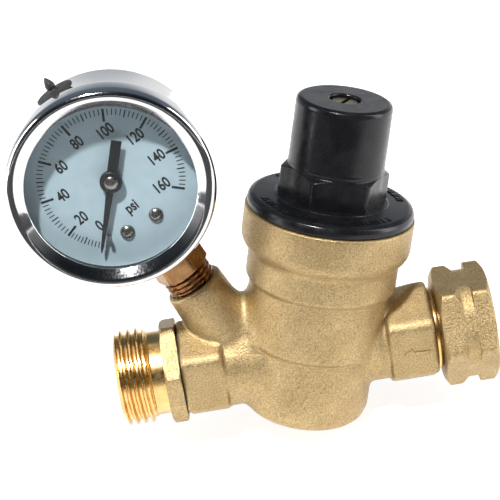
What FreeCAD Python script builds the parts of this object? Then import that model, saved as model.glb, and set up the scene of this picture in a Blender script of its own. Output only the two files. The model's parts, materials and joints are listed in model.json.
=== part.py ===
import FreeCAD, Part
import math
import os
from FreeCAD import Placement, Rotation, Vector

# Adjustable water pressure regulator with a dial gauge, for a caravan's water inlet.
# Millimetres. X is the pipe line, from the outlet's end face (x = 0) to the inlet nut,
# Z is up, and the gauge looks along -Y. The spring chamber leans towards the inlet.

# ---- driving dimensions: the pipe line ------------------------------------
PIPE_CENTRE = 54.5          # outlet face to the point where the chamber's axis crosses
GHT_MAJOR = 13.5            # 3/4 in garden hose thread, male crest radius
GHT_MINOR = 12.15
GHT_PITCH = 2.209           # 11.5 threads per inch
GHT_FEMALE_CREST = 12.4
GHT_FEMALE_ROOT = 13.55
OUTLET_NECK_R = 11.75
OUTLET_HEX = (13.3, 17.7)   # x of the adapter's hexagon
OUTLET_HEX_AF = 27.0
PORT_R = 9.6                # threaded ports in the body
PORT_PITCH = 1.814          # 14 threads per inch
WATERWAY_R = 6.5
LEFT_BOSS = (18.0, 29.8)
RIGHT_BOSS = (75.6, 88.7)
BOSS_AF = 26.0              # front flat to back flat
BOSS_TOP = 14.2             # the hexagon's corners are cut off here
BOSS_BOTTOM = 13.5
BOSS_CORNER_R = 3.8         # rounding of the corners beside the flats
BOSS_RELIEF = ((75.0, 9.3), (86.0, 15.3))   # the inlet boss slopes away from the chamber
LEFT_NECK_R = 12.5
RIGHT_NECK_R = 12.0
NUT = (90.6, 105.5)
NUT_AF = 29.5
NUT_GROOVE_R = 15.1

# ---- driving dimensions: the spring chamber (h runs along its axis) --------
CHAMBER_LEAN = 15.0         # degrees from Z towards +X
CHAMBER_BOTTOM = -18.8
CHAMBER_R = 18.0            # the barrel below its first step
SEAT_LEVEL = 11.0           # shoulder that carries the seat ring
CLAMP_LEVEL = 31.0          # ledge that carries the diaphragm's rim
COLLAR_TOP = 42.0
COLLAR_R = 23.4
LOWER_BORE_R = 8.6
UPPER_BORE_R = 15.0
COLLAR_BORE_R = 19.2
STEM_R = 2.5
STROKE_GAP = 2.0            # open gap between the valve disc and the seat
BONNET_TOP = 73.7
TOWER_R = 13.15
BONNET_HEX_AF = 26.2
SPINDLE_R = 3.9
SPINDLE_THREAD_R = 4.0

# ---- driving dimensions: the gauge -----------------------------------------
STEM_LEAN = 23.3            # degrees from Z towards -X
STEM_FOOT = 36.0            # x where the gauge port meets the waterway
GAUGE_BOSS_TOP = 27.8       # distances along the gauge stem
GAUGE_HEX = (32.5, 41.4)
GAUGE_HEX_AF = 14.0
GAUGE_CENTRE = 68.4
DIAL_TURN = 4.5             # degrees that the dial sits turned on its stem
CASE_R = 26.0
CASE_WALL = 0.7
BEZEL_R = 27.6
PLUG_Z = 5.0                # the fill plug, in front of the stem's plane
DIAL_Z = (9.6, 10.1)        # the dial plate, in front of the stem's plane
PINION_TEETH = 8
SECTOR_TEETH = 72
GEAR_MODULE = 0.3
SECTOR_PIVOT_ANGLE = -30.0  # degrees above the dial's right-hand axis
ZERO_ANGLE = 225.0          # the pointer at zero, from the dial's right-hand axis
STOP_R = 16.0               # the pin that the pointer rests on at zero
STOP_LEAD = 5.0             # degrees from the zero angle to the pin
SCREW_SPACING = 9.0         # the movement's two screws, level on the stem
SCREW_DROP = 14.8
LINK_TAIL = 4.5             # sector pivot to link pin
TUBE_R = 18.4               # the Bourdon tube's bend
TUBE_START = -94.5          # degrees from the dial's right-hand axis
TUBE_SWEEP = -264.5

# ---- frames: local z runs along each axis -----------------------------------
PIPE = Placement(Vector(0, 0, 0), Rotation(Vector(0, 1, 0), 90))
CHAMBER = Placement(Vector(PIPE_CENTRE, 0, 0), Rotation(Vector(0, 1, 0), CHAMBER_LEAN))
STEM = Placement(Vector(STEM_FOOT, 0, 0), Rotation(Vector(0, 1, 0), -STEM_LEAN))


def dial_frame(turn):
    """Frame on the gauge's centre: x to the reader's right, y up the dial, z to the reader."""
    lean = math.radians(STEM_LEAN + turn)
    right = Vector(math.cos(lean), 0, math.sin(lean))
    up = Vector(-math.sin(lean), 0, math.cos(lean))
    centre = STEM.multVec(Vector(0, 0, GAUGE_CENTRE))
    return Placement(centre, Rotation(right, up, Vector(0, -1, 0), "ZXY"))


DIAL = dial_frame(DIAL_TURN)
SOCKET = dial_frame(0.0)


def screw_spots():
    """The movement's screws: level on the socket, so turned a little in the dial's frame."""
    turn = math.radians(DIAL_TURN)
    spots = []
    for x in (-SCREW_SPACING / 2, SCREW_SPACING / 2):
        spots.append((x * math.cos(turn) - SCREW_DROP * math.sin(turn),
                      -x * math.sin(turn) - SCREW_DROP * math.cos(turn)))
    return spots


# ---- helpers ------------------------------------------------------------------
def placed(frame, shape):
    moved = shape.copy()
    moved.Placement = frame.multiply(moved.Placement)
    return moved


def revolved(outline):
    """Solid of revolution about z. An item is (r, z), or (r, z, mid_r, mid_z) for an arc."""
    edges = []
    for here, there in zip(outline, outline[1:] + outline[:1]):
        a, b = Vector(here[0], 0, here[1]), Vector(there[0], 0, there[1])
        if len(there) == 4:
            edges.append(Part.Arc(a, Vector(there[2], 0, there[3]), b).toShape())
        elif a.distanceToPoint(b) > 1e-6:
            edges.append(Part.makeLine(a, b))
    face = Part.Face(Part.Wire(edges))
    return Part.Solid(face.revolve(Vector(0, 0, 0), Vector(0, 0, 1), 360))


def rod(r, z0, z1, x=0.0, y=0.0):
    return Part.makeCylinder(r, z1 - z0, Vector(x, y, z0))


def ring(inner, outer, z0, z1):
    return rod(outer, z0, z1).cut(rod(inner, z0 - 1, z1 + 1))


def prism(points, z0, z1):
    corners = [Vector(x, y, z0) for x, y in points]
    return Part.Face(Part.makePolygon(corners + corners[:1])).extrude(Vector(0, 0, z1 - z0))


def hexagon(af, z0, z1, turn=0.0):
    r = af / math.sqrt(3)
    angles = [math.radians(turn + 60 * k) for k in range(6)]
    return prism([(r * math.cos(a), r * math.sin(a)) for a in angles], z0, z1)


def nut_blank(af, z0, z1, low, high, turn=0.0):
    """Hexagon whose corners are turned off at 30 degrees by low and high along z."""
    corner = af / math.sqrt(3) + 0.01
    slope = math.sqrt(3)
    blank = [(0, z0), (corner - low * slope, z0), (corner, z0 + low)]
    blank += [(corner, z1 - high), (corner - high * slope, z1), (0, z1)]
    return hexagon(af, z0, z1, turn).common(revolved(blank))


def thread(crest, root, pitch, start, count):
    """Outline of count thread crests that begin at start, for the outside of a rod."""
    flat = 0.22 * pitch
    flank = 0.28 * pitch
    points = []
    for k in range(count):
        z = start + k * pitch
        points += [(crest, z), (crest, z + flat), (root, z + flat + flank)]
        if k < count - 1:
            points.append((root, z + pitch - flank))
    return points


def torus(mean, section, z):
    return Part.makeTorus(mean, section, Vector(0, 0, z))


def coil(mean, wire, z0, z1, turns):
    """Helical spring between two levels, its end turns laid flat on their seats."""
    low, high = z0 + wire, z1 - wire
    path = Part.makeHelix((high - low) / turns, high - low, mean)
    path.translate(Vector(0, 0, low))
    section = Part.Wire(Part.makeCircle(wire, Vector(mean, 0, low), Vector(0, 1, 0)))
    spring = Part.Wire(path).makePipeShell([section], True, True)
    return Part.Solid(spring)


def polar(r, degrees):
    return (r * math.cos(math.radians(degrees)), r * math.sin(math.radians(degrees)))


def fused(first, *others):
    return first.multiFuse(list(others)).removeSplitter()


PARTS = {}


def keep(name, frame, shape):
    PARTS[name] = placed(frame, shape)


# ---- regulator body ---------------------------------------------------------
def boss_block(af, top, bottom, x0, x1, corner):
    """Hexagonal boss along the pipe, flats to front and back, its top and bottom cut flat."""
    half, side = af / 2, af / 2 / math.sqrt(3)
    top_half = (2 * side - top) * math.sqrt(3)
    bottom_half = (2 * side - bottom) * math.sqrt(3)
    ends = [(top, -top_half), (side, -half), (-side, -half), (-bottom, -bottom_half)]
    section = [(-z, y) for z, y in ends + [(z, -y) for z, y in reversed(ends)]]
    block = prism(section, x0, x1)
    sides = [e for e in block.Edges if abs(e.BoundBox.ZLength - (x1 - x0)) < 1e-3]
    outer = [e for e in sides if abs(abs(e.CenterOfMass.y) - half) < 1e-3]
    return block.makeFillet(corner, outer)


def flow_arrow():
    """Raised arrow on the inlet boss's front face, pointing down the flow."""
    y_face, tip, z = -BOSS_AF / 2, RIGHT_BOSS[0] + 3.5, -0.6
    line = [(tip, z), (tip + 2.8, z + 1.7), (tip + 2.8, z + 0.35), (tip + 7.6, z + 0.35)]
    line += [(x, 2 * z - up) for x, up in reversed(line[1:])]
    corners = [Vector(x, y_face + 0.2, up) for x, up in line]
    return Part.Face(Part.makePolygon(corners + corners[:1])).extrude(Vector(0, -0.5, 0))


def make_body():
    barrel = revolved([
        (0, CHAMBER_BOTTOM), (13.2, CHAMBER_BOTTOM), (CHAMBER_R, -14.0, 16.6, -17.4),
        (CHAMBER_R, 2.8), (19.5, 3.9), (19.5, 20.6), (20.9, 21.8), (20.9, 28.9), (21.4, 29.8),
        (21.6, 30.6), (COLLAR_R, 33.4, 22.9, 31.7), (COLLAR_R, COLLAR_TOP), (0, COLLAR_TOP)])
    left = placed(PIPE, boss_block(BOSS_AF, BOSS_TOP, BOSS_BOTTOM, *LEFT_BOSS, BOSS_CORNER_R))
    left_neck = placed(PIPE, rod(LEFT_NECK_R, LEFT_BOSS[1] - 1, 45.0))
    right = placed(PIPE, boss_block(BOSS_AF, BOSS_TOP, BOSS_BOTTOM, *RIGHT_BOSS, BOSS_CORNER_R))
    right_neck = placed(PIPE, rod(RIGHT_NECK_R, PIPE_CENTRE, RIGHT_BOSS[0] + 4))
    (low_x, low_z), (high_x, high_z) = BOSS_RELIEF
    above = high_z + 3
    slope = [(low_x, low_z), (high_x, high_z), (high_x, above), (low_x, above)]
    corners = [Vector(x, -BOSS_AF, z) for x, z in slope]
    relief = Part.Face(Part.makePolygon(corners + corners[:1]))
    relief = relief.extrude(Vector(0, 2 * BOSS_AF, 0))
    right, right_neck = right.cut(relief), right_neck.cut(relief)
    gauge_boss = placed(STEM, revolved([
        (0, 1.0), (8.9, 1.0), (8.6, 14.0), (8.4, 21.0), (8.2, 27.4),
        (7.8, GAUGE_BOSS_TOP), (0, GAUGE_BOSS_TOP)]))
    outside = barrel.copy()
    outside.Placement = CHAMBER
    outside = outside.multiFuse([left, left_neck, right, right_neck, gauge_boss, flow_arrow()])

    chamber = fused(
        rod(2.6, -15.5, -11.0), rod(LOWER_BORE_R, -12.0, SEAT_LEVEL + 1),
        rod(10.6, SEAT_LEVEL, 15.0), rod(UPPER_BORE_R, 14.4, CLAMP_LEVEL + 1),
        rod(COLLAR_BORE_R, CLAMP_LEVEL, COLLAR_TOP + 1))
    pipe = fused(
        rod(PORT_R, LEFT_BOSS[0] - 1, 28.2), rod(WATERWAY_R, 28.0, 41.5))
    inlet = fused(
        rod(11.1, 87.1, RIGHT_BOSS[1] + 1), rod(PORT_R, 78.4, RIGHT_BOSS[1] + 1),
        rod(WATERWAY_R, 60.0, 79.0))
    gauge_port = fused(rod(2.2, 0.0, 20.0), rod(6.85, 16.0, GAUGE_BOSS_TOP + 1))
    riser_start, riser_end = Vector(38.5, 0, 2), Vector(45.6, 0, 19.5)
    riser_way = riser_end - riser_start
    riser = Part.makeCylinder(3.2, riser_way.Length, riser_start, riser_way)
    hollows = [placed(CHAMBER, chamber), placed(PIPE, pipe), placed(PIPE, inlet),
               placed(STEM, gauge_port), riser]
    for hollow in hollows:
        outside = outside.cut(hollow)
    PARTS["regulator_body"] = outside.removeSplitter()


# ---- outlet and inlet -------------------------------------------------------
def port_thread(start, count):
    return thread(PORT_R - 0.05, PORT_R - 0.9, PORT_PITCH, start, count)


def make_outlet():
    outline = [(7.0, 0), (11.9, 0), (GHT_MINOR + 0.5, 0.3)]
    outline += thread(GHT_MAJOR, GHT_MINOR, GHT_PITCH, 0.45, 4)
    outline += [(GHT_MINOR, 8.7), (OUTLET_NECK_R, 9.2), (OUTLET_NECK_R, OUTLET_HEX[0] + 1)]
    outline += [(9.0, OUTLET_HEX[0] + 1), (9.0, OUTLET_HEX[1] + 0.4)]
    outline += port_thread(18.6, 5) + [(8.4, 28.0), (7.0, 28.0)]
    core = revolved(outline)
    flange = nut_blank(OUTLET_HEX_AF, *OUTLET_HEX, 0.9, 0.5, turn=15).cut(rod(8.0, 10, 20))
    keep("outlet_adapter", PIPE, fused(core, flange))
    keep("outlet_washer", PIPE, ring(PORT_R + 0.05, 12.6, OUTLET_HEX[1], LEFT_BOSS[0]))


def make_inlet():
    boss = RIGHT_BOSS[1]
    outline = [(WATERWAY_R, 78.7), (8.4, 78.7)] + port_thread(79.2, 4)
    outline += [(8.7, 86.2), (9.5, 86.6), (9.5, boss), (11.3, boss), (11.6, boss + 0.4)]
    outline += [(11.6, boss + 1.1), (11.2, boss + 1.5), (9.5, boss + 1.5), (9.5, 93.9)]
    outline += [(12.1, 93.9), (12.1, 96.0), (WATERWAY_R, 96.0)]
    tail = revolved(outline).cut(hexagon(13.4, 91.5, 97.0))
    keep("inlet_tailpiece", PIPE, tail)
    keep("tailpiece_o_ring", PIPE, torus(10.3, 0.75, 87.9))

    blank = nut_blank(NUT_AF, *NUT, 1.3, 1.3, turn=36)
    groove = revolved([(NUT_GROOVE_R, 97.0), (18.5, 94.3), (18.5, 100.2), (NUT_GROOVE_R, 100.2)])
    crest, root = GHT_FEMALE_CREST, GHT_FEMALE_ROOT
    inside = [(0, NUT[0] - 1), (9.58, NUT[0] - 1), (9.58, 93.6), (12.9, 93.6), (12.9, 98.6)]
    inside += thread(root, crest, GHT_PITCH, 99.0, 3)
    inside += [(crest, 105.0), (13.4, NUT[1]), (13.4, NUT[1] + 1), (0, NUT[1] + 1)]
    keep("swivel_nut", PIPE, blank.cut(groove).cut(revolved(inside)))
    keep("hose_washer", PIPE, ring(7.9, 12.3, 96.1, 98.9))
    screen = revolved([
        (7.8, 97.6), (7.8, 98.2), (5.9, 98.2), (2.2, 90.4), (0, 90.0), (0, 89.6),
        (2.5, 90.1), (6.2, 97.6)])
    keep("filter_screen", PIPE, screen)


# ---- spring chamber ---------------------------------------------------------
def make_bonnet():
    skirt = 33.7
    shell = revolved([
        (15.8, skirt), (18.3, skirt)] + thread(COLLAR_BORE_R - 0.05, 18.3, 1.5, 34.4, 5) + [
        (18.3, COLLAR_TOP), (22.4, COLLAR_TOP), (22.9, COLLAR_TOP + 0.5),
        (22.9, 43.8), (21.3, 45.4, 22.43, 44.93), (TOWER_R, 45.8), (TOWER_R, 55.3),
        (13.05, 72.6), (12.0, BONNET_TOP, 12.75, 73.38), (4.2, BONNET_TOP),
        (4.2, 70.5), (SPINDLE_R + 0.05, 70.0), (SPINDLE_R + 0.05, 66.0),
        (10.9, 66.0), (10.9, 40.0), (15.8, 38.0)])
    hexa = nut_blank(BONNET_HEX_AF, 44.6, 54.9, 0.0, 1.55, turn=1).cut(rod(11.5, 40, 60))
    keys = [(9.4, -1.3), (11.6, -1.3), (11.6, 1.3), (9.4, 1.3)]
    for k in range(3):
        rib = prism(keys, 44.0, 66.0)
        rib.rotate(Vector(0, 0, 0), Vector(0, 0, 1), 120 * k)
        shell = shell.fuse(rib)
    keep("bonnet", CHAMBER, fused(shell, hexa))


def make_adjuster():
    thread_part = thread(SPINDLE_THREAD_R, 3.35, 1.25, 45.4, 14)
    spindle = revolved(
        [(0, 44.6), (3.2, 44.6)] + thread_part + [
            (3.3, 63.6), (6.5, 63.6), (6.5, 65.1), (SPINDLE_R, 65.1),
            (SPINDLE_R, 72.4), (3.4, 72.9), (0, 72.9)])
    slot = Part.makeBox(9, 1.1, 2, Vector(-4.5, -0.55, 71.4))
    slot.rotate(Vector(0, 0, 0), Vector(0, 0, 1), 62)
    keep("adjusting_spindle", CHAMBER, spindle.cut(slot))
    keep("thrust_washer", CHAMBER, ring(SPINDLE_R + 0.06, 6.8, 65.15, 65.95))

    nut = fused(rod(10.5, 54.0, 57.6), rod(6.4, 51.5, 54.5))
    for k in range(3):
        slot = Part.makeBox(3, 3.2, 6, Vector(9.0, -1.6, 53))
        slot.rotate(Vector(0, 0, 0), Vector(0, 0, 1), 120 * k)
        nut = nut.cut(slot)
    keep("spring_nut", CHAMBER, nut.cut(rod(SPINDLE_THREAD_R + 0.05, 50, 60)))
    keep("main_spring", CHAMBER, coil(8.2, 1.05, 34.6, 53.95, 5.0))


def make_valve():
    keep("slip_ring", CHAMBER, ring(15.5, 19.0, 32.55, 33.6))
    keep("diaphragm", CHAMBER, revolved([
        (STEM_R + 0.05, 31.05), (12.3, 31.05), (13.7, 32.3, 12.9, 31.9), (15.1, 31.0, 14.5, 31.9),
        (19.0, 31.0), (19.0, 32.5), (15.3, 32.5), (13.7, 33.8, 14.7, 33.4),
        (12.1, 32.55, 12.7, 33.4), (STEM_R + 0.05, 32.55)]))
    keep("spring_plate", CHAMBER, revolved([
        (STEM_R, 32.6), (11.6, 32.6), (11.6, 34.5), (6.8, 34.5), (6.3, 36.2), (STEM_R, 36.2)]))
    plate_nut = hexagon(8.0, 36.2, 39.0).cut(rod(STEM_R, 30, 40))
    keep("stem_nut", CHAMBER, plate_nut)

    disc_top = 8.8 - STROKE_GAP
    stem = revolved([
        (0, -13.0), (1.6, -13.0), (2.0, -12.6), (2.0, disc_top - 5.4), (STEM_R, disc_top - 5.4),
        (STEM_R, 28.4), (8.6, 29.2), (8.6, 31.0), (STEM_R, 31.0), (STEM_R, 40.2), (0, 40.6)])
    keep("valve_stem", CHAMBER, stem)
    cup = revolved([
        (STEM_R, disc_top - 4.0), (7.2, disc_top - 4.0), (7.2, disc_top - 0.6),
        (6.7, disc_top - 0.6), (6.7, disc_top - 2.0), (STEM_R, disc_top - 2.0)])
    keep("disc_holder", CHAMBER, cup)
    keep("valve_disc", CHAMBER, ring(STEM_R, 6.65, disc_top - 1.95, disc_top))
    keep("disc_nut", CHAMBER, hexagon(7.0, disc_top - 6.6, disc_top - 4.05).cut(rod(2.5, -5, 5)))
    keep("closing_spring", CHAMBER, coil(5.6, 0.5, -11.95, disc_top - 4.05, 5.0))

    seat = revolved([
        (5.0, 8.8), (6.0, 8.8), (6.4, 9.4), (8.4, 9.6), (8.4, 11.35), (10.5, 11.35),
        (10.5, 14.3), (6.0, 14.3), (5.0, 13.3)])
    keep("seat_ring", CHAMBER, seat.cut(Part.makeBox(22, 2.4, 1.5, Vector(-11, -1.2, 13.4))))
    keep("seat_washer", CHAMBER, ring(8.7, 10.5, SEAT_LEVEL, 11.35))


# ---- gauge ------------------------------------------------------------------
def make_case():
    inner = CASE_R - CASE_WALL
    shell = revolved([
        (0, -7.0), (23.6, -7.0), (CASE_R, -4.6, 25.3, -6.3), (CASE_R, 12.4), (26.8, 12.4),
        (26.8, 13.1), (inner, 13.1), (inner, -4.3), (23.3, -6.3, 24.7, -5.7), (0, -6.3)])
    shell = placed(SOCKET, shell)
    shell = shell.cut(placed(STEM, rod(5.2, 35.0, 50.0)))
    fill = placed(SOCKET, Part.makeCylinder(2.6, 8, Vector(0, 22, PLUG_Z), Vector(0, 1, 0)))
    PARTS["gauge_case"] = shell.cut(fill)

    keep("gauge_bezel", DIAL, revolved([
        (26.3, 11.2), (26.3, 11.9), (26.9, 12.0), (26.9, 17.0), (25.4, 18.4, 26.4, 18.0),
        (24.4, 17.5), (23.9, 16.8), (22.4, 16.8), (22.4, 17.4), (23.6, 18.2), (25.0, 19.3),
        (27.0, 18.9, 26.1, 19.6), (BEZEL_R, 17.2, 27.45, 18.1), (BEZEL_R, 12.2),
        (27.0, 11.2, 27.4, 11.5)]))
    keep("window_gasket", DIAL, ring(23.4, 26.7, 13.1, 14.3))
    keep("gauge_window", DIAL, rod(26.7, 14.3, 16.7))
    plug = revolved([
        (0, 24.2), (3.1, 24.2), (3.1, 24.9), (2.5, 25.1), (2.5, 26.1), (5.0, 26.1),
        (5.3, 26.3), (5.3, 26.8), (4.9, 27.1), (1.0, 27.2), (1.35, 28.0), (1.3, 28.9),
        (0.8, 30.2), (0.2, 31.3), (0, 31.3)])
    turned = Placement(Vector(0, 0, PLUG_Z), Rotation(Vector(1, 0, 0), -90))
    keep("fill_plug", SOCKET.multiply(turned), plug)


def bourdon_ring():
    """The flattened tube, bent round the dial's axis from the socket to its tip."""
    inner_r, outer_r, back_z, front_z = TUBE_R - 1.1, TUBE_R + 1.1, -2.4, 2.0
    corners = [Vector(inner_r, 0, back_z), Vector(outer_r, 0, back_z),
               Vector(outer_r, 0, front_z), Vector(inner_r, 0, front_z)]
    face = Part.Face(Part.makePolygon(corners + corners[:1]))
    face.rotate(Vector(0, 0, 0), Vector(0, 0, 1), TUBE_START)
    return Part.Solid(face.revolve(Vector(0, 0, 0), Vector(0, 0, 1), TUBE_SWEEP))


def make_socket():
    npt = thread(6.8, 6.05, 1.411, 17.5, 10)
    core = revolved([(1.6, 16.6), (5.9, 16.6)] + npt + [(6.0, 32.2), (6.0, 33.0), (1.6, 33.0)])
    bore = rod(1.6, 10.0, 50.4)
    neck = rod(5.0, 41.0, 45.5)
    block = Part.makeBox(14, 7.5, 12.2, Vector(-7, -2.6, 44.8))
    holes = [placed(DIAL, rod(0.85, -1.2, 5, x, y)) for x, y in screw_spots()]
    hexa = nut_blank(GAUGE_HEX_AF, *GAUGE_HEX, 0.6, 0.6)
    socket = placed(STEM, fused(core, neck, block, hexa).cut(bore))
    for hole in [*holes, placed(DIAL, bourdon_ring())]:
        socket = socket.cut(hole)
    PARTS["gauge_socket"] = socket
    collar = placed(STEM, ring(5.05, 7.6, 41.45, 43.6))
    PARTS["case_seal"] = collar.cut(placed(SOCKET, rod(CASE_R + 0.02, -8, 14)))


def gear_outline(teeth, first, last, tip, root, offset):
    """Trapezoid teeth, a little thin for their pitch, centred on offset degrees."""
    step = 360.0 / teeth
    points = []
    for k in range(first, last + 1):
        middle = offset + k * step
        points += [polar(root, middle - 0.30 * step), polar(tip, middle - 0.12 * step)]
        points += [polar(tip, middle + 0.12 * step), polar(root, middle + 0.30 * step)]
    return points


def make_movement():
    pinion_r = GEAR_MODULE * PINION_TEETH / 2
    sector_r = GEAR_MODULE * SECTOR_TEETH / 2
    apart = pinion_r + sector_r
    px, py = polar(apart, SECTOR_PIVOT_ANGLE)

    # plates, pillars and the screws that also carry the dial
    plate = [(-6.5, 4.5), (4.5, 4.5), (14.0, -1.0), (15.5, -9.0), (7.0, -17.5), (-6.5, -17.5)]
    screws = screw_spots()
    pillars = [(-4.6, 2.6), (11.6, -11.4)]
    for name, z0, z1 in (("movement_back_plate", 2.7, 3.3), ("movement_front_plate", 8.0, 8.6)):
        sheet = prism(plate, z0, z1).cut(rod(0.56, 0, 10)).cut(rod(0.86, 0, 10, px, py))
        for x, y in screws + pillars:
            sheet = sheet.cut(rod(0.85, 0, 10, x, y))
        keep(name, DIAL, sheet)
    posts = []
    for x, y in pillars:
        post = rod(1.4, 3.3, 8.0, x, y).fuse(rod(0.8, 2.5, 8.8, x, y))
        posts.append(post)
    keep("movement_pillars", DIAL, Part.makeCompound(posts))
    heads = []
    for x, y in screws:
        head = revolved([(0, 10.1), (2.0, 10.1), (1.85, 10.6), (0.2, 11.3, 1.1, 11.12), (0, 11.3)])
        shank = rod(0.8, -1.0, 10.2)
        cross = Part.makeBox(1.8, 0.35, 1, Vector(-0.9, -0.17, 10.9))
        screw = fused(head, shank).cut(cross)
        heads.append(placed(Placement(Vector(x, y, 0), Rotation()), screw))
    keep("dial_screws", DIAL, Part.makeCompound(heads))

    # pinion, pointer and sector, in mesh at zero
    shaft = revolved([
        (0, 2.0), (0.5, 2.0), (0.5, 4.8), (0.75, 4.8), (0.75, 7.0), (0.5, 7.0), (0.5, 12.6),
        (0, 12.6)])
    towards = SECTOR_PIVOT_ANGLE
    outline = gear_outline(PINION_TEETH, 0, PINION_TEETH - 1, pinion_r + 0.24,
                           pinion_r - 0.36, towards + 180.0 / PINION_TEETH)
    keep("pinion_shaft", DIAL, shaft.fuse(prism(outline, 4.9, 6.9)).removeSplitter())

    back = towards + 180
    tooth = 360.0 / SECTOR_TEETH
    teeth = gear_outline(SECTOR_TEETH, -1, 7, sector_r + 0.24, sector_r - 0.36, back)
    rim = [polar(sector_r - 2.0, back + 7.5 * tooth), polar(sector_r - 2.4, back + 3 * tooth),
           polar(sector_r - 2.0, back - 1.5 * tooth)]
    toothed = prism(teeth + rim, 5.4, 6.4)
    mid = back + 3 * tooth
    arm = [polar(1.7, mid + 90), polar(1.7, mid - 90)]
    arm += [polar(sector_r - 1.9, mid - 9), polar(sector_r - 1.9, mid + 9)]
    tail_angle = towards - 15
    tail_end = polar(LINK_TAIL, tail_angle)
    side = math.radians(tail_angle + 90)
    tail = [(w * math.cos(side) + a * tail_end[0], w * math.sin(side) + a * tail_end[1])
            for a, w in ((0, -1.4), (1, -1.0), (1, 1.0), (0, 1.4))]
    sector = toothed.fuse(prism(arm, 5.4, 6.4)).fuse(prism(tail, 5.4, 6.4))
    sector = sector.fuse(rod(1.9, 5.4, 6.4)).fuse(rod(1.0, 5.4, 6.4, *tail_end))
    sector = sector.fuse(rod(0.8, 2.1, 9.2)).cut(rod(0.4, 5, 7, *tail_end)).removeSplitter()
    pivot = DIAL.multiply(Placement(Vector(px, py, 0), Rotation()))
    keep("sector_gear", pivot, sector)

    # Bourdon tube, closed tip and the link to the sector's tail
    tip_x, tip_y = polar(TUBE_R, TUBE_START + TUBE_SWEEP)
    tip = rod(1.4, -2.4, 4.4, tip_x, tip_y)
    keep("bourdon_tube", DIAL, bourdon_ring().fuse(tip).removeSplitter())
    x0, y0 = px + tail_end[0], py + tail_end[1]
    length = math.hypot(tip_x - x0, tip_y - y0)
    across = math.degrees(math.atan2(tip_y - y0, tip_x - x0))
    strap = Part.makeBox(length, 1.2, 0.4, Vector(0, -0.6, 4.6)).fuse(rod(0.9, 4.6, 5.0))
    strap = strap.fuse(rod(0.9, 4.6, 5.0, length, 0)).fuse(rod(0.36, 4.6, 6.7)).removeSplitter()
    keep("link", DIAL.multiply(Placement(Vector(x0, y0, 0), Rotation(across, 0, 0))), strap)

    spiral = []
    turns, inner_r, outer_r = 3, 1.0, 3.4
    steps = turns * 24
    for edge in (0.0, 0.12):
        run = [polar(inner_r + edge + (outer_r - inner_r) * k / steps, 15.0 * k)
               for k in range(steps + 1)]
        spiral.append(run)
    keep("hairspring", DIAL, prism(spiral[0] + spiral[1][::-1], 3.8, 4.3))


def make_dial():
    plate = rod(24.9, *DIAL_Z).cut(rod(0.8, 9, 11))
    for x, y in screw_spots():
        plate = plate.cut(rod(0.85, 9, 11, x, y))
    stop = polar(STOP_R, ZERO_ANGLE + STOP_LEAD)
    plate = plate.cut(rod(0.55, 9, 11, *stop))
    keep("dial_face", DIAL, plate)
    keep("zero_stop_pin", DIAL, rod(0.55, 9.2, 12.9, *stop))

    blade = [(2.2, 1.0), (18.5, 0.45), (20.3, 0.0), (18.5, -0.45), (2.2, -1.0), (-2.5, -1.4),
             (-11.6, -1.4), (-11.6, 1.4), (-2.5, 1.4)]
    needle = prism(blade, 12.0, 12.35).fuse(ring(0.5, 3.0, 11.0, 12.7)).cut(rod(0.5, 10, 14))
    needle.rotate(Vector(0, 0, 0), Vector(0, 0, 1), ZERO_ANGLE)
    keep("pointer", DIAL, needle.removeSplitter())
    keep("pointer_cap", DIAL, revolved([(0, 12.7), (1.9, 12.7), (1.8, 13.1), (0.3, 13.6, 1.1, 13.48),
                                         (0, 13.6)]))


make_body()
make_outlet()
make_inlet()
make_bonnet()
make_adjuster()
make_valve()
make_case()
make_socket()
make_movement()
make_dial()

os.makedirs("parts", exist_ok=True)
for part_name, shape in PARTS.items():
    solids = shape.Solids
    volume = sum(s.Volume for s in solids)
    print(f"{part_name:22s} solids {len(solids)}  valid {shape.isValid()}  {volume:9.1f} mm3")
    shape.exportStep(f"parts/{part_name}.step")
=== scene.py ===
# %% [markdown]
# # A water pressure regulator, cell by cell
# The regulator joins two hoses. Water enters at the swivel nut, passes a spring-loaded valve
# in the slanted chamber, and leaves at the male thread. A dial gauge shows the pressure.
# The CAD model is loaded first and stays fixed. Everything after it only adds looks:
# finer meshes for the pieces that show, and a node material for every piece.

# %% Load the fixed frame
import json
import math

import bmesh
import bpy
import numpy as np
from mathutils import Matrix, Vector

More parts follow.
